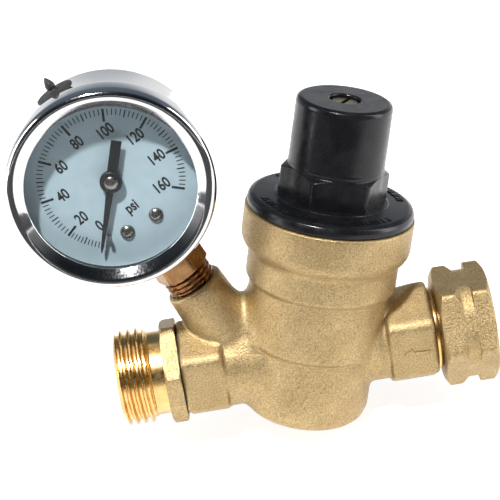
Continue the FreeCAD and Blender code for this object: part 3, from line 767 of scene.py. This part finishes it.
arrow_tip, arrow_level = RIGHT_BOSS[0] + 3.5, -0.6
head_end, shaft_end, half_shaft = arrow_tip + 2.8, arrow_tip + 7.6, 0.4
arrow = [(arrow_tip, arrow_level), (head_end, arrow_level + 1.7), (head_end, arrow_level + half_shaft),
         (shaft_end, arrow_level + half_shaft)]
arrow += [(x, 2 * arrow_level - up) for x, up in reversed(arrow[1:])]
front_face = axes_matrix((0, -BOSS_AF / 2 * MM, 0), (1, 0, 0), (0, 0, 1), (0, -1, 0))
arrow_piece = flat_piece("flow_arrow", front_face, arrow, -0.3, 0.28, FORGED, bevel=0.12)
on_body(arrow_piece, "regulator", "forged_brass")
print("flow arrow", round(arrow[3][0] - arrow_tip, 1), "mm long")

# %% [markdown]
# ## Outlet
# A male 3/4 inch hose thread, turned from bar. The thread is a true helix: at each angle the
# crest is a little further along. Its height over the root is a flattened wave of the turns
# that a point is along, and the end chamfers clip it. Behind it are a plain neck and a
# hexagon for a spanner, whose corners a lathe tool has turned off at an angle.

# %% A helical thread
def clamped(value, low=0.0, high=1.0):
    return max(low, min(high, value))


def thread_radius(angle, height, start, end, pitch, crest, root, entry=1.3):
    """Surface radius of a right-hand thread cut between two heights, its ends clipped by a chamfer."""
    turns = (height - start) / pitch - angle / (2 * math.pi)
    flank = clamped((abs(turns % 1.0 - 0.5) - 0.10) / 0.27)
    depth = (crest - root) * (1 - flank * flank * (3 - 2 * flank))
    room = max(0.0, min(height - start, end - height)) * entry
    return root + math.copysign(min(abs(depth), room), depth)


HOSE_PITCH = 2.209
OUTLET_HEX_AF, OUTLET_CORNER = 27.0, math.radians(15)


def outlet_shape(angle, radius, height):
    if 0.2 < height < 9.3 and radius > 12.0:
        return thread_radius(angle, height, 0.1, 9.2, HOSE_PITCH, 13.5, 12.15)
    if 13.2 < height < 17.8:
        return soft_min(radius, hexagon_radius(angle, OUTLET_HEX_AF, OUTLET_CORNER), 0.25)
    return radius


outlet_corner_r = OUTLET_HEX_AF / math.sqrt(3)
outlet_outline = divided(softened([
    (7.0, 0), (12.0, 0), (12.15, 0.25), (12.15, 9.25), (11.75, 9.7), (11.75, 13.3),
    (outlet_corner_r - 1.55, 13.3), (outlet_corner_r, 14.2), (outlet_corner_r, 17.2),
    (outlet_corner_r - 0.87, 17.7), (9.4, 17.7), (9.4, 28.0), (7.0, 28.0)], 0.18), 0.13)
outlet = turned("outlet_thread_piece", pipe, outlet_outline, TURNED_PIPE, 240, outlet_shape, OUTLET_CORNER)
outlet.data.materials.append(FORGED)
for face in outlet.data.polygons:
    along, across = face.center.x / MM, math.hypot(face.center.y, face.center.z) / MM
    if 13.2 < along < 17.8 and across > 12.4:
        face.material_index = 1
on_body(outlet, "regulator", "machined_brass", "outlet_adapter")
print("outlet piece:", len(outlet.data.vertices), "vertices")

# %% [markdown]
# ## Inlet
# The swivel nut is forged like the body, then bored and threaded. Its groove is turned only
# into the corners: the flats lie deeper than the groove, so they stay whole. Behind it sits
# the tailpiece, which the nut turns on, with a hexagonal socket for a key. The hose's rubber
# washer and a cone of wire mesh, which keeps grit out of the valve, lie in the nut's mouth.

# %% Swivel nut
NUT_AF, NUT_CORNER = 29.5, math.radians(36)
nut_corner_r = NUT_AF / math.sqrt(3)


def nut_shape(angle, radius, height):
    if radius > 14.0:
        return soft_min(radius, hexagon_radius(angle, NUT_AF, NUT_CORNER), 0.45)
    if 98.7 < height < 105.2 and radius > 12.3:
        return thread_radius(angle, height, 98.9, 105.3, HOSE_PITCH, 12.4, 13.5)
    return radius


nut_outline = divided(softened([
    (9.7, 90.6), (nut_corner_r - 2.25, 90.6), (nut_corner_r, 91.9), (nut_corner_r, 95.0), (15.15, 97.0),
    (15.15, 100.2), (nut_corner_r, 100.25), (nut_corner_r, 104.2), (nut_corner_r - 2.25, 105.5),
    (13.8, 105.5),
    (13.5, 105.1), (13.5, 98.6), (12.9, 98.6), (12.9, 93.6), (9.7, 93.6)], 0.35, 4), 0.18)
nut = turned("swivel_hose_nut", pipe, nut_outline, FORGED, 240, nut_shape, NUT_CORNER)
on_body(nut, "nut", "forged_brass", "swivel_nut")
print("swivel nut:", len(nut.data.vertices), "vertices")

# %% Tailpiece and washer
KEY_AF = 13.4


def tail_shape(angle, radius, height):
    if height > 91.4 and radius < 7.0:
        return KEY_AF / 2 / math.cos(angle % (math.pi / 3) - math.pi / 6)
    return radius


tail_outline = divided(softened([
    (6.5, 78.7), (8.4, 78.7), (9.45, 80.0), (9.45, 88.72), (11.3, 88.72), (11.6, 89.1), (11.6, 89.8),
    (11.2, 90.2), (9.5, 90.2), (9.5, 93.9), (12.1, 93.9), (12.1, 96.0), (6.6, 96.0), (6.6, 91.5),
    (6.5, 91.3)], 0.12), 0.8)
tail = turned("swivel_tailpiece", pipe, tail_outline, TURNED_PIPE, 144, tail_shape)
on_body(tail, "regulator", "machined_brass", "inlet_tailpiece")

washer_outline = softened([(7.9, 96.1), (12.3, 96.1), (12.3, 98.9), (7.9, 98.9)], 0.4, 4)
washer = turned("hose_rubber_washer", pipe, washer_outline, RUBBER, 96)
on_body(washer, "regulator", "black_rubber", "hose_washer")
print("tailpiece:", len(tail.data.vertices), "vertices")


# %% [markdown]
# ### Wire
# Springs and the inlet's mesh are wire. A tube follows a list of points: at each point a ring
# is set square to the path, and the ring's start is carried along without twisting. The same
# function makes the closing spring, both halves of the main spring and each strand of mesh.

# %% Wire along a path
def wire_into(mesh_edit, points, radius, sides=8, closed=False):
    """Adds a round wire along points, in mm. A closed path joins up; an open one has flat ends."""
    path = [Vector(p) for p in points]
    count = len(path)
    rings, side = [], None
    for k, here in enumerate(path):
        before = path[k - 1] if closed or k else path[k]
        after = path[(k + 1) % count] if closed or k < count - 1 else path[k]
        way = (after - before).normalized()
        side = (side - way * side.dot(way)).normalized() if side else way.orthogonal().normalized()
        other = way.cross(side)
        turns = [2 * math.pi * j / sides for j in range(sides)]
        rings.append([mesh_edit.verts.new(here + (side * math.cos(t) + other * math.sin(t)) * radius)
                      for t in turns])
    for k in range(count if closed else count - 1):
        here, there = rings[k], rings[(k + 1) % count]
        for j in range(sides):
            i = (j + 1) % sides
            mesh_edit.faces.new((here[j], here[i], there[i], there[j]))
    if not closed:
        mesh_edit.faces.new(rings[0][::-1])
        mesh_edit.faces.new(rings[-1])


def wire_piece(name, matrix, paths, radius, material, sides=8, closed=False):
    mesh_edit = bmesh.new()
    for path in paths:
        wire_into(mesh_edit, path, radius, sides, closed)
    return finished(mesh_edit, name, matrix, material, sharp_degrees=60)


# %% Mesh cone in the inlet
def round_point(radius, angle, height):
    return (radius * math.cos(angle), radius * math.sin(angle), height)


def cone_radius(height):
    """The strainer's radius: 5.9 mm at its rim, 2.2 mm at its tip."""
    return 2.2 + (height - 90.4) / (97.9 - 90.4) * (5.9 - 2.2)


STRANDS, HOOPS = 30, 14
cone_ends = (90.4, 97.9)
hoop_turns = [2 * math.pi * k / 48 for k in range(48)]
hoop_levels = [cone_ends[0] + (cone_ends[1] - cone_ends[0]) * k / (HOOPS - 1) for k in range(HOOPS)]
hoops = [[round_point(cone_radius(h), t, h) for t in hoop_turns] for h in hoop_levels]
strand_turns = [2 * math.pi * k / STRANDS for k in range(STRANDS)]
strands = [[round_point(cone_radius(h), t, h) for h in cone_ends] for t in strand_turns]
WIRE_R = 0.09
strand_piece = wire_piece("strainer_strands", pipe, strands, WIRE_R, STEEL, 6)
on_body(strand_piece, "regulator", "steel", "filter_screen")
on_body(wire_piece("strainer_hoops", pipe, hoops, WIRE_R, STEEL, 6, closed=True), "regulator", "steel")
rim = softened([(5.7, 97.6), (7.7, 97.6), (7.7, 98.2), (5.7, 98.2)], 0.15)
on_body(turned("strainer_rim", pipe, rim, STEEL, 72), "regulator", "steel")
tip = softened([(0, 90.2), (2.4, 90.2), (2.4, 90.6), (0, 90.6)], 0.1)
on_body(turned("strainer_tip", pipe, tip, STEEL, 48), "regulator", "steel")
print("strainer:", STRANDS, "strands and", HOOPS, "hoops")

# %% [markdown]
# ## The cap
# One nylon moulding: a flange that screws into the body's collar, a hexagon to turn it by, and
# a smooth tower that holds the spring. On the hexagon's top the corners fall away along a
# cone, so each face ends in an arc, which is what makes a nut look like a nut. The hexagon is
# the same lathe outline with its radius limited by the flats. Small raised bars round the
# flange stand where a maker would put lettering.

# %% Bonnet
CAP_AF, CAP_CORNER = 26.2, math.radians(1)
CAP_TOWER_R = 13.15
cap_corner_r = CAP_AF / math.sqrt(3)


def cap_shape(angle, radius, height):
    if 45.1 < height < 55.7 and radius > 12.0:
        flats = soft_min(radius, hexagon_radius(angle, CAP_AF, CAP_CORNER), 0.35)
        return soft_max(flats, CAP_TOWER_R, 0.25) if radius < 15.3 else radius
    return radius


cap_outline = divided(softened([
    (10.9, 66.0), (10.9, 41.5), (15.8, 39.5), (15.8, 33.7), (18.9, 33.7), (18.9, 42.02), (22.4, 42.02),
    (22.9, 42.5), (22.9, 43.8), (22.4, 44.8), (21.3, 45.35), (15.6, 45.7), (cap_corner_r, 46.2),
    (cap_corner_r, 53.4), (12.6, 54.85), (CAP_TOWER_R, 55.4), (13.05, 72.3), (12.75, 73.2), (11.9, 73.65),
    (4.5, 73.65), (4.2, 73.3), (4.2, 70.5), (3.98, 70.2), (3.98, 66.0)], 0.22, 3), 0.22)
cap = turned("pressure_cap", chamber, cap_outline, NYLON, 240, cap_shape, CAP_CORNER)
on_body(cap, "regulator", "black_plastic", "bonnet")
print("cap:", len(cap.data.vertices), "vertices")

# %% Raised bars on the flange
MARK_GROUPS = ((3, 1, 2, 1, 1, 2, 3, 1), (1, 2, 1, 3, 1, 2, 1))      # bar lengths, in units
MARK_UNIT, MARK_HEIGHT, MARK_R = 0.55, 2.1, 19.3
bars = bmesh.new()
for group, middle in zip(MARK_GROUPS * 3, (-150, -106, -60, 20, 70, 122)):
    angle = math.radians(middle) - sum(n + 1 for n in group) * MARK_UNIT / MARK_R / 2
    for units in group:
        width = units * MARK_UNIT
        angle += width / 2 / MARK_R
        place = Matrix.Rotation(angle, 4, "Z") @ Matrix.Translation((MARK_R, 0, 45.44))
        tilt = Matrix.Rotation(math.radians(4), 4, "Y")
        box = rectangle(-MARK_HEIGHT / 2, MARK_HEIGHT / 2, -width / 2, width / 2)
        sheet_into(bars, box, -0.3, 0.30, 0.12, place @ tilt)
        angle += (width / 2 + MARK_UNIT) / MARK_R
marks = finished(bars, "cap_raised_bars", chamber, NYLON)
on_body(marks, "regulator", "black_plastic")
print("raised bars:", sum(len(g) for g in MARK_GROUPS * 3))

# %% [markdown]
# ## Springs inside the cap and the body
# Nothing of these shows from outside, yet they are real. A spring that turns into a shorter
# spring can't ride on one body: its lower end follows the valve and its upper end the nut
# that compresses it. So the main spring is made as two halves that meet at its middle.

# %% Springs
def coil_points(mean, low, high, turns, first=0.0, last=1.0, per_turn=28):
    """Points along part of a helix, from share first to share last of its height."""
    steps = max(2, round(turns * per_turn * (last - first)))
    shares = [first + (last - first) * k / steps for k in range(steps + 1)]
    return [round_point(mean, 2 * math.pi * turns * s, low + (high - low) * s) for s in shares]


SPRING_LOW, SPRING_HIGH, SPRING_WIRE = 34.6, 53.95, 1.0
main_low, main_high = SPRING_LOW + SPRING_WIRE, SPRING_HIGH - SPRING_WIRE
lower_half = wire_piece("main_spring_lower", chamber, [coil_points(8.2, main_low, main_high, 5, 0, 0.5)],
                        SPRING_WIRE, SPRING, 12)
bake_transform(lower_half)
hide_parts("main_spring")
upper_half = wire_piece("main_spring_upper", chamber, [coil_points(8.2, main_low, main_high, 5, 0.5, 1)],
                        SPRING_WIRE, SPRING, 12)
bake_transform(upper_half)

CLOSING_LOW, CLOSING_HIGH, CLOSING_WIRE = -11.95, 2.75, 0.5
closing = wire_piece("closing_valve_spring", chamber,
                     [coil_points(5.6, CLOSING_LOW + CLOSING_WIRE, CLOSING_HIGH - CLOSING_WIRE, 5)],
                     CLOSING_WIRE, SPRING, 10)
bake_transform(closing)
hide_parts("closing_spring")
print("springs: two halves of", SPRING_WIRE * 2, "mm wire, one of", CLOSING_WIRE * 2, "mm")

# %% [markdown]
# ## Gauge: stem, case and bezel
# The stem is brass with a tapered pipe thread and a small hexagon. The case is a deep-drawn
# steel cup with a rounded back, and the bezel is a rolled steel ring crimped over its lip. On
# the bezel the section does all the work: a rounded shoulder outside, a crown, and a rolled
# lip that turns down to the window. It needs many steps round, because polished metal shows
# every facet as a break in its reflections.

# %% Gauge stem
STEM_HEX_AF = 14.0
stem_corner_r = STEM_HEX_AF / math.sqrt(3)
STEM_PITCH = 1.411


def stem_shape(angle, radius, height):
    if 17.0 < height < 32.4 and radius > 5.9:
        taper = (height - 17.0) * 0.012
        return taper + thread_radius(angle, height, 17.0, 32.2, STEM_PITCH, 6.75, 6.0)
    if 32.4 < height < 41.5:
        return soft_min(radius, hexagon_radius(angle, STEM_HEX_AF, 0.0), 0.25)
    return radius


stem_outline = divided(softened([
    (1.6, 16.6), (5.8, 16.6), (6.0, 17.0), (6.0, 32.5), (stem_corner_r - 1.0, 32.5), (stem_corner_r, 33.1),
    (stem_corner_r, 40.8), (stem_corner_r - 1.0, 41.4), (5.0, 41.4), (5.0, 45.5), (1.6, 45.5)], 0.15), 0.14)
gauge_stem = turned("gauge_stem", stem, stem_outline, TURNED_STEM, 192, stem_shape)
on_body(gauge_stem, "regulator", "machined_brass", "gauge_socket")

block = flat_piece("gauge_stem_block", stem, rectangle(-7.0, 7.0, -2.6, 4.9), 44.8, 56.6, TURNED_STEM, 0.3)
on_body(block, "regulator", "machined_brass")
print("gauge stem:", len(gauge_stem.data.vertices), "vertices")

# %% Case and bezel
CASE_R, CASE_WALL = 26.0, 0.7
case_inner = CASE_R - CASE_WALL
case_outline = softened([
    (0, -7.0), (22.6, -7.0), (24.6, -6.55), (25.65, -5.5), (CASE_R, -3.9), (CASE_R, 12.4), (26.75, 12.4),
    (26.75, 13.1), (case_inner, 13.1), (case_inner, -3.8), (24.4, -5.6), (22.6, -6.3), (0, -6.3)], 0.5, 4)
case = turned("gauge_drawn_case", socket, case_outline, POLISHED, 240)
on_body(case, "regulator", "polished_steel", "gauge_case")

BEZEL_R = 27.6
bezel_outline = softened([
    (26.3, 11.2), (26.3, 11.9), (26.9, 12.1), (26.9, 17.0), (26.3, 18.0), (25.4, 18.4), (24.4, 17.6),
    (23.9, 16.8), (22.4, 16.8), (22.4, 17.3), (23.5, 18.1), (24.9, 19.2), (26.0, 19.5), (27.0, 18.9),
    (27.5, 17.9), (BEZEL_R, 16.8), (BEZEL_R, 12.2), (27.3, 11.5), (26.8, 11.2)], 0.45, 4)
bezel = turned("gauge_rolled_bezel", dial, bezel_outline, POLISHED, 288)
on_body(bezel, "regulator", "polished_steel", "gauge_bezel")
print("case and bezel:", len(case.data.vertices) + len(bezel.data.vertices), "vertices")

# %% Window and fill plug
WINDOW_R = 26.6
window_outline = softened([(0, 14.3), (WINDOW_R, 14.3), (WINDOW_R, 16.7), (0, 16.7)], 0.15)
window = turned("gauge_clear_window", dial, window_outline, WINDOW, 144)
on_body(window, "regulator", "window", "gauge_window")

PLUG_Z = 5.0
plug_foot = dial_centre + Vector((0, -PLUG_Z * MM, 0))
plug_frame = axes_matrix(plug_foot, stem_side, (0, 1, 0), stem_way)
PLUG_TIP = 31.25
plug_outline = divided(softened([
    (0, 24.2), (3.1, 24.2), (3.1, 24.9), (2.5, 25.1), (2.5, 26.1), (5.0, 26.1), (5.3, 26.3),
    (5.3, 26.8), (4.7, 27.1), (1.6, 27.25), (1.05, 27.7), (1.35, 28.5), (1.2, 29.4), (0.7, 30.4),
    (0.25, 31.2), (0, PLUG_TIP)],
    0.3, 3), 0.4)
plug = turned("case_fill_plug", plug_frame, plug_outline, RUBBER, 72)
on_body(plug, "regulator", "black_rubber", "fill_plug")
print("window", round(WINDOW_R * 2, 1), "mm across; plug stands", round(PLUG_TIP - CASE_R, 1), "mm proud")

# %% [markdown]
# ## The dial and its print
# The plate is enamelled aluminium, and the scale is screen-printed on it: 0 to 160 psi over
# three quarters of a turn. One function places a tick by its pressure, so the whole scale is a
# loop over the readings. Numerals are set with the built-in font, narrowed as gauge numerals
# are, turned into mesh and laid a few hundredths of a millimetre above the enamel.

# %% Dial plate
DIAL_FRONT = 10.1
INK_TOP = DIAL_FRONT + 0.035
plate_outline = softened([(0.8, 9.6), (24.9, 9.6), (24.9, DIAL_FRONT), (0.8, DIAL_FRONT)], 0.12)
plate = turned("dial_plate", dial, plate_outline, ENAMEL, 192)
on_body(plate, "regulator", "dial_enamel", "dial_face")

# %% Scale
FULL_SCALE, HALF_SWEEP = 160, 135.0
FIRST_STEP, FIRST_ANGLE = 20, 106.6       # the first 20 psi are printed closer together


def scale_angle(reading):
    """Angle from the dial's right-hand axis at which a reading is printed."""
    if reading < FIRST_STEP:
        clockwise = -HALF_SWEEP + (HALF_SWEEP - FIRST_ANGLE) * reading / FIRST_STEP
    else:
        share = (reading - FIRST_STEP) / (FULL_SCALE - FIRST_STEP)
        clockwise = -FIRST_ANGLE + (HALF_SWEEP + FIRST_ANGLE) * share
    return math.radians(90 - clockwise)


TICK_OUTER = 19.6
ink = bmesh.new()
for reading in range(0, FULL_SCALE + 1, 2):
    long_tick, middle_tick = reading % 20 == 0, reading % 10 == 0
    length, width = (3.5, 0.66) if long_tick else (2.1, 0.34) if middle_tick else (1.7, 0.26)
    bar = rectangle(TICK_OUTER - length, TICK_OUTER, -width / 2, width / 2)
    sheet_into(ink, bar, DIAL_FRONT - 0.02, INK_TOP, 0, Matrix.Rotation(scale_angle(reading), 4, "Z"))
ticks = finished(ink, "dial_scale_ticks", dial, INK)
on_body(ticks, "regulator", "pointer_black")
print("ticks:", FULL_SCALE // 2 + 1)


# %% Numerals
def lettering(text, height_mm, middle, squeeze=0.74):
    """A text's mesh in the dial's millimetres, centred on middle."""
    curve = bpy.data.curves.new("lettering", "FONT")
    curve.body = text
    curve.align_x, curve.align_y = "CENTER", "CENTER"
    curve.size = height_mm / 0.70
    curve.offset = 0.026 * curve.size
    curve.extrude = 0.012
    curve.resolution_u = 6
    holder = bpy.data.objects.new("lettering", curve)
    scene.collection.objects.link(holder)
    evaluated = holder.evaluated_get(bpy.context.evaluated_depsgraph_get())
    mesh = bpy.data.meshes.new_from_object(evaluated)
    bpy.data.objects.remove(holder)
    mesh.transform(Matrix.Translation((*middle, INK_TOP)) @ Matrix.Diagonal((squeeze, 1, 1, 1)))
    return mesh


printing = bmesh.new()
NUMERAL_R, NUMERAL_HEIGHT = 13.4, 3.0
ZERO_NUMERAL_ANGLE = math.radians(90 + 129.3)     # the 0 stands clear of the pointer
for reading in range(0, FULL_SCALE + 1, 20):
    angle = scale_angle(reading) if reading else ZERO_NUMERAL_ANGLE
    place = (NUMERAL_R * math.cos(angle), NUMERAL_R * math.sin(angle))
    printing.from_mesh(lettering(str(reading), NUMERAL_HEIGHT, place))
printing.from_mesh(lettering("psi", NUMERAL_HEIGHT, (-0.4, -9.3)))
numerals = finished(printing, "dial_numerals", dial, INK)
on_body(numerals, "regulator", "pointer_black")
print("numerals:", FULL_SCALE // 20 + 1)

# %% [markdown]
# ## Pointer
# Black aluminium: a needle that narrows to its tip, and a straight, wide tail that balances
# it. It is pressed onto the pinion's shaft at zero, so it is drawn along x and then turned to
# the angle of the zero tick. It rides on the needle body, and a small steel cap covers the
# shaft's end.

# %% Pointer
TIP, TAIL = 20.3, -11.6
blade = [(2.2, 1.0), (18.5, 0.42), (TIP, 0.1), (TIP, -0.1), (18.5, -0.42), (2.2, -1.0), (-2.5, -1.4),
         (TAIL, -1.4), (TAIL, 1.4), (-2.5, 1.4)]
at_zero = dial @ Matrix.Rotation(scale_angle(0), 4, "Z")
needle = flat_piece("pointer_blade", at_zero, blade, 12.0, 12.35, BLACK_PAINT, 0.06)
on_body(needle, "needle", "pointer_black", "pointer")
hub_outline = softened([(0.5, 11.0), (3.0, 11.0), (3.0, 12.5), (2.7, 12.75), (0.5, 12.75)], 0.2, 3)
on_body(turned("pointer_hub", dial, hub_outline, BLACK_PAINT, 72), "needle", "pointer_black")
print("pointer:", TIP - TAIL, "mm long")

# %% [markdown]
# ## The rest of the CAD pieces
# The small inner pieces keep their CAD shapes, which are already right, and only get a
# finish. One table of finish against names does it, and anything left out is reported.

# %% Finishes for the carried-over pieces
CARRIED = {
    SPINDLE_BRASS: ["adjusting_spindle"],
    TURNED_CHAMBER: ["spring_nut", "valve_stem", "disc_holder", "disc_nut", "seat_ring",
                     "stem_nut", "slip_ring"],
    SHEET_BRASS: ["movement_back_plate", "movement_front_plate", "movement_pillars", "sector_gear",
                  "pinion_shaft", "link", "bourdon_tube"],
    STEEL: ["thrust_washer", "spring_plate"],
    DULL_STEEL: ["dial_screws", "zero_stop_pin", "pointer_cap"],
    SPRING: ["hairspring"],
    RUBBER: ["outlet_washer", "tailpiece_o_ring", "diaphragm", "valve_disc", "seat_washer", "window_gasket",
             "case_seal"],
}
finished_names = set()
for finish_material, names in CARRIED.items():
    for name in names:
        for slot_of_node in frame["nodes"][name].material_slots:
            slot_of_node.material = finish_material
        finished_names.add(name)
left_plain = [name for name, node in frame["nodes"].items()
              if not node.hide_render and name not in finished_names]
print("carried over:", len(finished_names), "left plain:", left_plain)
